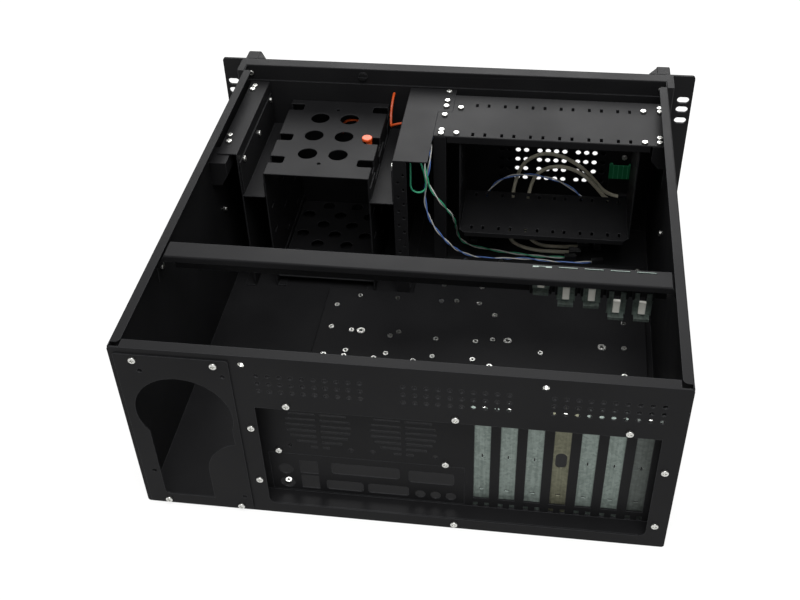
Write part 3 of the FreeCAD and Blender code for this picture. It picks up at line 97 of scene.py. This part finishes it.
# black powder coat: dry paint baked onto steel, with a fine orange peel that breaks up the sheen,
# patches of duller paint, and a painted highlight, a paler line, along its edges
powderCoat = {
    "colour": "111112",
    "dust": "1d1d1e",
    # the edge colour is a painted highlight, laid along the bevelled sheet edges
    "edge": "404143",
    "specular": 0.05,          # set far below the usual 0.5
    "ior": 1.5,
    "roughLow": 0.4,
    "roughHigh": 0.52,
    "peelMm": 1.1,             # finer in real paint, drawn coarser so that it shows
    "peelDepthMm": 0.12,
    "peelStrength": 0.25,
    "patchMm": 70.0,
    "patchFrom": 0.3,
    "patchTo": 0.7,
    "edgeMm": 0.55,
    "edgeFrom": 0.80,          # cosines of the turn between the soft face and the flat one
    "edgeTo": 0.985,
    "edgeSamples": 4,
}


def powderCoatMaterial(name, look):
    material, tree, output, coords = newMaterial(name)
    peel = addNode(tree, "ShaderNodeTexNoise", inputs={
        "Vector": coords, "Scale": mmPerMetre / look["peelMm"], "Detail": 2.0})
    patch = addNode(tree, "ShaderNodeTexNoise", inputs={
        "Vector": coords, "Scale": mmPerMetre / look["patchMm"], "Detail": 4.0})
    rough = addNode(tree, "ShaderNodeValToRGB", inputs={"Fac": patch.outputs["Fac"]}, stops=[
        (look["patchFrom"], grey(look["roughLow"])), (look["patchTo"], grey(look["roughHigh"]))])
    soft = addNode(tree, "ShaderNodeBevel", {"samples": look["edgeSamples"]},
                   {"Radius": look["edgeMm"] / mmPerMetre})
    flat = addNode(tree, "ShaderNodeNewGeometry")
    turn = addNode(tree, "ShaderNodeVectorMath", {"operation": "DOT_PRODUCT"},
                   {0: soft.outputs["Normal"], 1: flat.outputs["Normal"]})
    # mask of the sheet edges where the painted highlight is laid over the coat colour
    edge = addNode(tree, "ShaderNodeValToRGB", inputs={"Fac": turn.outputs["Value"]}, stops=[
        (look["edgeFrom"], grey(1.0)), (look["edgeTo"], grey(0.0))])
    dusty = addNode(tree, "ShaderNodeMix", {"data_type": "RGBA"}, {
        0: patch.outputs["Fac"], 6: hexColour(look["colour"]), 7: hexColour(look["dust"])})
    dustAndEdgeHighlight = addNode(tree, "ShaderNodeMix", {"data_type": "RGBA"}, {
        0: edge.outputs["Color"], 6: dusty.outputs[2], 7: hexColour(look["edge"])})
    bump = addNode(tree, "ShaderNodeBump", inputs={
        "Strength": look["peelStrength"], "Distance": look["peelDepthMm"] / mmPerMetre,
        "Height": peel.outputs["Fac"], "Normal": soft.outputs["Normal"]})
    shader = addNode(tree, "ShaderNodeBsdfPrincipled", inputs={
        "Base Color": dustAndEdgeHighlight.outputs[2], "Roughness": rough.outputs["Color"], "IOR": look["ior"],
        "Specular IOR Level": look["specular"], "Normal": bump.outputs["Normal"]})
    tree.links.new(shader.outputs["BSDF"], output.inputs["Surface"])
    return material


# galvanised sheet: rolled steel with a thin coat of zinc, its crystals small and faint, with
# soft streaks along the sheet
zincSheet = {
    "dark": "5e6863",
    "mid": "6d7772",
    "light": "7d8782",
    "darkAt": 0.32,
    "midAt": 0.5,
    "lightAt": 0.7,
    "spangleMm": 2.2,
    "spangleShare": 0.3,
    "streakMm": 1.6,
    "streakLongMm": 40.0,
    "roughLow": 0.40,
    "roughHigh": 0.54,
    "roughFrom": 0.3,
    "roughTo": 0.7,
    "bumpStrength": 0.1,
    "bumpMm": 0.1,
    "metal": 0.8,              # given, where clean bare zinc would be 1
}


def zincMaterial(name, look):
    material, tree, output, coords = newMaterial(name)
    across = mmPerMetre / look["streakMm"]
    streaked = addNode(tree, "ShaderNodeMapping", inputs={
        "Vector": coords, "Scale": (across, across, mmPerMetre / look["streakLongMm"])})
    streak = addNode(tree, "ShaderNodeTexNoise", inputs={
        "Vector": streaked.outputs["Vector"], "Scale": 1.0, "Detail": 3.0})
    spangle = addNode(tree, "ShaderNodeTexVoronoi", inputs={
        "Vector": coords, "Scale": mmPerMetre / look["spangleMm"]})
    crystal = addNode(tree, "ShaderNodeSeparateColor", inputs={"Color": spangle.outputs["Color"]})
    blur = addNode(tree, "ShaderNodeMix", {"data_type": "FLOAT"}, {
        0: look["spangleShare"], 2: streak.outputs["Fac"], 3: crystal.outputs["Red"]})
    colour = addNode(tree, "ShaderNodeValToRGB", inputs={"Fac": blur.outputs[0]}, stops=[
        (look["darkAt"], hexColour(look["dark"])), (look["midAt"], hexColour(look["mid"])),
        (look["lightAt"], hexColour(look["light"]))])
    rough = addNode(tree, "ShaderNodeValToRGB", inputs={"Fac": blur.outputs[0]}, stops=[
        (look["roughFrom"], grey(look["roughLow"])), (look["roughTo"], grey(look["roughHigh"]))])
    bump = addNode(tree, "ShaderNodeBump", inputs={
        "Strength": look["bumpStrength"], "Distance": look["bumpMm"] / mmPerMetre,
        "Height": blur.outputs[0]})
    shader = addNode(tree, "ShaderNodeBsdfPrincipled", inputs={
        "Base Color": colour.outputs["Color"], "Metallic": look["metal"],
        "Roughness": rough.outputs["Color"], "Normal": bump.outputs["Normal"]})
    tree.links.new(shader.outputs["BSDF"], output.inputs["Surface"])
    return material


# nickel-plated screw steel: turned and plated, a bright skin with faint tool marks
nickelPlate = {
    "colour": "dcdcd8",
    "dull": "b8b8b4",
    "dullAt": 0.3,
    "brightAt": 0.65,
    "roughLow": 0.24,
    "roughHigh": 0.36,
    "smoothAt": 0.7,
    "metal": 1.0,
    "markMm": 1.2,
}


def nickelMaterial(name, look):
    material, tree, output, coords = newMaterial(name)
    marks = addNode(tree, "ShaderNodeTexNoise", inputs={
        "Vector": coords, "Scale": mmPerMetre / look["markMm"], "Detail": 2.0})
    colour = addNode(tree, "ShaderNodeValToRGB", inputs={"Fac": marks.outputs["Fac"]}, stops=[
        (look["dullAt"], hexColour(look["dull"])), (look["brightAt"], hexColour(look["colour"]))])
    rough = addNode(tree, "ShaderNodeValToRGB", inputs={"Fac": marks.outputs["Fac"]}, stops=[
        (look["dullAt"], grey(look["roughHigh"])), (look["smoothAt"], grey(look["roughLow"]))])
    shader = addNode(tree, "ShaderNodeBsdfPrincipled", inputs={
        "Base Color": colour.outputs["Color"], "Metallic": look["metal"],
        "Roughness": rough.outputs["Color"]})
    tree.links.new(shader.outputs["BSDF"], output.inputs["Surface"])
    return material


# moulded plastic and cable skins: even colour in soft clouds, a fine grain, a soft highlight
mouldings = {
    "absBlack": {"colour": "1d1d1f", "dark": "151516", "roughness": 0.42, "grainMm": 0.8},
    "rubberWhite": {"colour": "e3e2da", "dark": "cfcec5", "roughness": 0.62, "grainMm": 0.6},
    "pvcGreyCable": {"colour": "c4bfac", "dark": "aca793", "roughness": 0.38, "grainMm": 1.0},
    "pvcBlueWire": {"colour": "6c90d8", "dark": "5276c0", "roughness": 0.35, "grainMm": 0.7},
    "pvcGreenWire": {"colour": "4fc294", "dark": "3aa67c", "roughness": 0.35, "grainMm": 0.7},
    "pvcWhiteWire": {"colour": "dededa", "dark": "c8c8c2", "roughness": 0.35, "grainMm": 0.7},
    "petOrange": {"colour": "d8541f", "dark": "bd4415", "roughness": 0.42, "grainMm": 0.8},
    # orange wire skin: its own orange, drawn darker than the orange cap as painted shade
    "pvcOrangeWireShaded": {"colour": "b8481c", "dark": "943812", "roughness": 0.35, "grainMm": 0.7},
    "epoxyGreenLens": {"colour": "8fd08a", "dark": "79c074", "roughness": 0.12, "grainMm": 2.0,
                       "clear": 0.6},
}
mouldedSkin = {
    "ior": 1.5,
    "cloudMm": 16.6667,
    "cloudFrom": 0.3,
    "cloudTo": 0.7,
    "grainStrength": 0.2,
    "grainDepthMm": 0.1,
}


def mouldedMaterial(name, look, skin):
    material, tree, output, coords = newMaterial(name)
    grain = addNode(tree, "ShaderNodeTexNoise", inputs={
        "Vector": coords, "Scale": mmPerMetre / look["grainMm"], "Detail": 3.0})
    cloud = addNode(tree, "ShaderNodeTexNoise", inputs={
        "Vector": coords, "Scale": mmPerMetre / skin["cloudMm"], "Detail": 2.0})
    colour = addNode(tree, "ShaderNodeValToRGB", inputs={"Fac": cloud.outputs["Fac"]}, stops=[
        (skin["cloudFrom"], hexColour(look["dark"])), (skin["cloudTo"], hexColour(look["colour"]))])
    bump = addNode(tree, "ShaderNodeBump", inputs={
        "Strength": skin["grainStrength"], "Distance": skin["grainDepthMm"] / mmPerMetre,
        "Height": grain.outputs["Fac"]})
    shader = addNode(tree, "ShaderNodeBsdfPrincipled", inputs={
        "Base Color": colour.outputs["Color"], "Roughness": look["roughness"], "IOR": skin["ior"],
        "Transmission Weight": look.get("clear", 0.0), "Normal": bump.outputs["Normal"]})
    tree.links.new(shader.outputs["BSDF"], output.inputs["Surface"])
    return material


# circuit board: glass fibre under green lacquer, copper tracks showing as paler lines, and its
# lower half drawn dark for pin headers
solderMask = {
    "green": "1c7a4c",
    "track": "5fb48a",
    "trackMm": 2.4,
    "trackShare": 0.03,
    "rowHeight": 0.25,
    "roughness": 0.3,
    "ior": 1.5,
    "header": "101010",
    "headerTopMm": 65.0,
}


def solderMaskMaterial(name, look):
    material, tree, output, coords = newMaterial(name)
    tracks = addNode(tree, "ShaderNodeTexBrick", inputs={
        "Vector": coords, "Scale": mmPerMetre * look["rowHeight"] / look["trackMm"],
        "Row Height": look["rowHeight"], "Mortar Size": look["trackShare"],
        "Color1": hexColour(look["green"]), "Color2": hexColour(look["green"]),
        "Mortar": hexColour(look["track"])})
    height = addNode(tree, "ShaderNodeSeparateXYZ", inputs={"Vector": coords})
    upper = addNode(tree, "ShaderNodeMath", {"operation": "GREATER_THAN"},
                    {0: height.outputs["Z"], 1: look["headerTopMm"] / mmPerMetre})
    face = addNode(tree, "ShaderNodeMix", {"data_type": "RGBA"}, {
        0: upper.outputs[0], 6: hexColour(look["header"]), 7: tracks.outputs["Color"]})
    shader = addNode(tree, "ShaderNodeBsdfPrincipled", inputs={
        "Base Color": face.outputs[2], "Roughness": look["roughness"], "IOR": look["ior"]})
    tree.links.new(shader.outputs["BSDF"], output.inputs["Surface"])
    return material


yellowSheet = {**zincSheet, "dark": "525243", "mid": "5e5e4e", "light": "6c6c5b"}
dullSheet = {**zincSheet, "dark": "3f4441", "mid": "4a4f4c", "light": "565b58"}

blackCoat = powderCoatMaterial("powderCoatBlack", powderCoat)
zinc = zincMaterial("galvanisedSteel", zincSheet)
yellowZinc = zincMaterial("yellowPassivatedZinc", yellowSheet)
dullZinc = zincMaterial("dullZinc", dullSheet)
nickel = nickelMaterial("nickelPlatedSteel", nickelPlate)
plastics = {name: mouldedMaterial(name, look, mouldedSkin) for name, look in mouldings.items()}
boardGreen = solderMaskMaterial("greenSolderMask", solderMask)
print("materials made")


# finishes of the frame's own pieces; what neither list names is coated black
finishes = {
    "usb_board": boardGreen,
    "usb_sockets": zinc,
    "clamp_guides": zinc,
    "rear_screws": nickel,
    "inner_screws": nickel,
    "orange_cap": plastics["petOrange"],
    "power_button": plastics["absBlack"],
    "reset_button": plastics["absBlack"],
    "switch_bodies": plastics["absBlack"],
    "status_leds": plastics["epoxyGreenLens"],
    "lead_plugs": plastics["absBlack"],
    "slot_cover_4": yellowZinc,
    "slot_cover_7": dullZinc,
}
groupFinishes = {
    "slot_cover": zinc,
    "card_clamp": zinc,
    "clamp_pad": plastics["rubberWhite"],
}
for name, piece in nodes.items():
    finish = blackCoat
    for start, groupFinish in groupFinishes.items():
        if name.startswith(start):
            finish = groupFinish
    piece.data.materials.clear()
    piece.data.materials.append(finishes.get(name, finish))
print("frame pieces finished")


# leads: the routes are those of the frame's tubes, in millimetres
wallInner = -206.0
switchRear = -193.0
restUsb = 3.4
restWire = 2.7
leads = {
    "usbLeadA": {"node": "usb_lead_a", "width": 4.0, "length": 0.2827,
        "skins": ["pvcGreyCable"], "route": [
        (-178, -197.6, 44.3), (-165, -197.6, 46.5), (-151, -197.6, 64.5), (-136, -197.6, 80),
        (-117, -197.6, 91.5), (-96, -197.6, 94.5), (-77, -197.6, 82.5), (-69, -197.6, 58),
        (-66.5, -195.5, 33), (-64, -184, 13), (-66, -165, restUsb), (-82, -152, restUsb),
        (-106, -148, restUsb), (-130, -149.5, restUsb)]},
    "usbLeadB": {"node": "usb_lead_b", "width": 4.0, "length": 0.2380,
        "skins": ["pvcGreyCable"], "route": [
        (-178, -197.6, 36), (-167, -195.5, 40), (-155, -192.5, 57), (-143, -191.5, 71),
        (-127, -191.5, 81), (-107, -191.5, 83), (-90, -191.5, 72), (-84, -191.5, 48),
        (-82, -184, 24), (-84, -171, 7), (-97, -158.5, restUsb), (-118, -157, restUsb),
        (-139, -160, restUsb)]},
    "powerLead": {"node": "power_lead", "width": 2.6, "length": 0.3714,
        "skins": ["pvcGreenWire", "pvcWhiteWire"], "route": [
        (24, switchRear, 140), (24, -170, 141), (21, -146, 147), (17.5, -119, 151),
        (14.5, -99, 149.5), (13.5, -88, 139.5), (9, -88.5, 118), (-1, -94, 98), (-10, -104, 78),
        (-12.5, -117, 60), (-12.5, -130, 43), (-12.8, -140, 27), (-16, -147.5, 12),
        (-26, -151.5, restWire), (-41, -148.5, restWire), (-60, -144, restWire),
        (-82, -142, restWire), (-104, -139.5, restWire), (-126, -141, restWire)]},
    "ledLead": {"node": "led_lead", "width": 2.6, "length": 0.3901,
        "skins": ["pvcBlueWire", "pvcWhiteWire"], "route": [
        (12, -203, 134), (12.2, -180, 136), (12, -156, 143), (11.6, -132, 149),
        (10.4, -110, 150.4), (9.5, -99, 142), (12.5, -98.5, 125), (15.5, -98.5, 106),
        (14.5, -98.5, 87), (9.5, -99.5, 69), (1, -103, 52), (-8.5, -110, 34), (-16.5, -121, 18),
        (-30, -133, restWire), (-45, -131.5, restWire), (-63, -132.5, restWire),
        (-86, -135.5, restWire), (-109, -133, restWire), (-132, -131.5, restWire),
        (-154, -136, restWire)]},
    "resetLead": {"node": "reset_lead", "width": 1.8, "length": 0.1833,
        "skins": ["pvcGreenWire"], "route": [
        (24, switchRear, 118), (26, -170, 120), (29, -147, 126), (30, -124, 134),
        (29.5, -106, 141), (28.3, -95.5, 138), (27.8, -92, 128), (28.2, -91.5, 117.5),
        (26, -91.5, 111.9), (20.5, -92, 109.6), (15, -92.5, 111.9), (12.8, -93, 117.5),
        (14.1, -94, 128), (17.3, -95.8, 139), (20.8, -98.5, 148), (22, -100.5, 154)]},
    "archLead": {"node": "arch_lead", "width": 2.6, "length": 0.2270,
        "skins": ["pvcWhiteWire", "pvcBlueWire"], "route": [
        (-160, -170, restWire), (-158, -183, 9), (-152, -187, 27), (-141, -187, 48),
        (-124, -187, 63), (-104, -187, 71), (-83, -187, 74), (-63, -187, 71), (-47, -187, 60),
        (-36, -187, 38), (-29, -183, 16), (-29, -169, restWire)]},
    "orangeLead": {"node": "orange_lead", "width": 2.6, "length": 0.0665, "plugged": False,
        "skins": ["pvcOrangeWireShaded"], "route": [
        (59, wallInner, 152), (59.3, -193, 150), (60, -184, 137), (58, -172, 132),
        (54.5, -162, 142), (42.4, -159, 146)]},
    "driveLead": {"node": "drive_lead", "width": 2.6, "length": 0.1013, "plugged": False,
        "skins": ["pvcOrangeWireShaded"], "route": [
        (75, -138.6, 134.5), (76, -151, 133.5), (79.5, -164, 132.5), (85, -177, 131.5),
        (95, -186.5, 130.5), (107, -189, 128), (114, -191, 119), (116, -195, 108.5),
        (116, wallInner, 101)]},
}

# how finely a lead is drawn, and how the two strands of a pair lie, in shares of its width
leadShape = {
    "curveSteps": 10,
    "skinSteps": 3,
    "strandSides": 8,
    "strandOffset": 0.3,
    "strandRadius": 0.245,
    "pitchMm": 42.0,
}


# one smooth open spline through the route, with no thickness
def routeCurve(name, points):
    curve = bpy.data.curves.new(name, "CURVE")
    curve.dimensions = "3D"
    curve.resolution_u = leadShape["curveSteps"]
    spline = curve.splines.new("NURBS")
    spline.points.add(len(points) - 1)
    for point, place in zip(spline.points, points):
        point.co = (*[v / mmPerMetre for v in place], 1.0)
    spline.order_u = 3
    spline.use_endpoint_u = True
    piece = bpy.data.objects.new(name, curve)
    bpy.context.scene.collection.objects.link(piece)
    return piece


def routePoints(piece):
    bpy.context.view_layer.update()
    line = bpy.data.meshes.new_from_object(piece)
    points = [v.co.copy() for v in line.vertices]
    bpy.data.meshes.remove(line)
    return points


# a step round a circle from side towards other, whose radius is a share of the width
def stepRound(side, other, angle, width, share):
    return (side * math.cos(angle) + other * math.sin(angle)) * width * share


# two strands twisted round each other along the route, as one mesh
def twistedPair(name, points, width, skins):
    sides = leadShape["strandSides"]
    pitch = leadShape["pitchMm"] / mmPerMetre
    mesh = bpy.data.meshes.new(name)
    bm = bmesh.new()
    side = Vector((0.0, 0.0, 1.0))
    run = 0.0
    strands = [[], []]
    for k, point in enumerate(points):
        ahead = points[min(k + 1, len(points) - 1)] - points[max(k - 1, 0)]
        ahead.normalize()
        side = side - ahead * side.dot(ahead)
        side.normalize()
        other = ahead.cross(side)
        if k:
            run += (point - points[k - 1]).length
        turn = 2 * math.pi * run / pitch
        for strand, rings in enumerate(strands):
            angle = turn + strand * math.pi
            middle = point + stepRound(side, other, angle, width, leadShape["strandOffset"])
            ring = []
            for step in range(sides):
                around = 2 * math.pi * step / sides
                out = stepRound(side, other, around, width, leadShape["strandRadius"])
                ring.append(bm.verts.new(middle + out))
            rings.append(ring)
    for strand, rings in enumerate(strands):
        for first, second in zip(rings, rings[1:]):
            for step in range(sides):
                after = (step + 1) % sides
                face = bm.faces.new((first[step], first[after], second[after], second[step]))
                face.material_index = strand
                face.smooth = True
        for ring in (rings[0], rings[-1]):
            bm.faces.new(ring).material_index = strand
    bmesh.ops.recalc_face_normals(bm, faces=bm.faces)
    bm.to_mesh(mesh)
    bm.free()
    for skin in skins:
        mesh.materials.append(plastics[skin])
    piece = bpy.data.objects.new(name, mesh)
    bpy.context.scene.collection.objects.link(piece)
    return piece


for name, lead in leads.items():
    route = routeCurve(name, lead["route"])
    start = [v / mmPerMetre for v in lead["route"][0]]
    width = lead["width"] / mmPerMetre
    if len(lead["skins"]) == 2:
        line = routePoints(route)
        bpy.data.objects.remove(route)
        route = twistedPair(name, line, width, lead["skins"])
    else:
        route.data.bevel_depth = width / 2
        route.data.bevel_resolution = leadShape["skinSteps"]
        route.data.use_fill_caps = True
        route.data.materials.append(plastics[lead["skins"][0]])
    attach(route, "case")
    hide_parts(lead["node"])
print("leads laid")


# floor, lamps and world
studio = {
    "white": "ffffff",
    "floorColour": "f4f4f2",
    "floorHalf": 6.0,
    "floorDrop": 0.0002,       # keeps the floor clear of the case's underside
    "floorShare": 0.85,        # part of what is seen or mirrored of the floor that is plain white
    "keyPlace": (0.1, -2.2, 1.7),
    "keySize": 1.8,
    "keyPower": 72.0,
    "fillPlace": (-0.2, 0.7, 2.0),
    "fillSize": 1.2,
    "fillPower": 38.0,
    "lampAim": (0.0, 0.0, 0.08),
    "worldLevel": 0.7,
}


def makeFloor(look):
    mesh = bpy.data.meshes.new("studioFloor")
    bm = bmesh.new()
    bmesh.ops.create_grid(bm, x_segments=1, y_segments=1, size=look["floorHalf"])
    bm.to_mesh(mesh)
    bm.free()
    floor = bpy.data.objects.new("studioFloor", mesh)
    floor.location.z = cadBox[0][2] - look["floorDrop"]
    bpy.context.scene.collection.objects.link(floor)
    material, tree, output, coords = newMaterial("paleStudioFloor")
    path = addNode(tree, "ShaderNodeLightPath")
    seen = addNode(tree, "ShaderNodeMath", {"operation": "MAXIMUM"},
                   {0: path.outputs["Is Camera Ray"], 1: path.outputs["Is Glossy Ray"]})
    seenAlso = addNode(tree, "ShaderNodeMath", {"operation": "MAXIMUM"},
                       {0: seen.outputs[0], 1: path.outputs["Is Transmission Ray"]})
    share = addNode(tree, "ShaderNodeMath", {"operation": "MULTIPLY"},
                    {0: seenAlso.outputs[0], 1: look["floorShare"]})
    paint = addNode(tree, "ShaderNodeBsdfDiffuse",
                    inputs={"Color": hexColour(look["floorColour"])})
    glow = addNode(tree, "ShaderNodeEmission",
                   inputs={"Color": hexColour(look["white"]), "Strength": 1.0})
    mixed = addNode(tree, "ShaderNodeMixShader",
                    inputs={0: share.outputs[0], 1: paint.outputs[0], 2: glow.outputs[0]})
    tree.links.new(mixed.outputs[0], output.inputs["Surface"])
    mesh.materials.append(material)


def makeLamp(name, place, size, power, aim):
    lamp = bpy.data.lights.new(name, "AREA")
    lamp.size = size
    lamp.energy = power
    piece = bpy.data.objects.new(name, lamp)
    piece.location = place
    towards = Vector(aim) - Vector(place)
    piece.rotation_euler = towards.to_track_quat("-Z", "Y").to_euler()
    bpy.context.scene.collection.objects.link(piece)


def makeWorld(look):
    world = bpy.data.worlds.new("paleStudio")
    bpy.context.scene.world = world
    world.use_nodes = True
    tree = world.node_tree
    tree.nodes.clear()
    output = addNode(tree, "ShaderNodeOutputWorld")
    path = addNode(tree, "ShaderNodeLightPath")
    plain = addNode(tree, "ShaderNodeBackground",
                    inputs={"Color": hexColour(look["white"]), "Strength": look["worldLevel"]})
    white = addNode(tree, "ShaderNodeBackground",
                    inputs={"Color": hexColour(look["white"]), "Strength": 1.0})
    mixed = addNode(tree, "ShaderNodeMixShader", inputs={
        0: path.outputs["Is Camera Ray"], 1: plain.outputs[0], 2: white.outputs[0]})
    tree.links.new(mixed.outputs[0], output.inputs["Surface"])


# camera, with its turn in degrees and its lens and sensor in millimetres
view = {
    "place": (-0.10034, 0.77390, 0.72214),
    "turn": (49.4059, 1.7670, -172.1174),
    "lens": 49.236,
    "sensor": 36.0,
}


def makeCamera(look):
    camera = bpy.data.cameras.new("camera")
    camera.lens = look["lens"]
    camera.sensor_width = look["sensor"]
    piece = bpy.data.objects.new("camera", camera)
    piece.location = look["place"]
    piece.rotation_euler = [math.radians(a) for a in look["turn"]]
    bpy.context.scene.collection.objects.link(piece)
    bpy.context.scene.camera = piece


makeFloor(studio)
for lamp in ("key", "fill"):
    makeLamp(lamp + "Lamp", studio[lamp + "Place"], studio[lamp + "Size"],
             studio[lamp + "Power"], studio["lampAim"])
makeWorld(studio)
makeCamera(view)
bpy.context.scene.view_settings.view_transform = "Standard"
print("stage set")
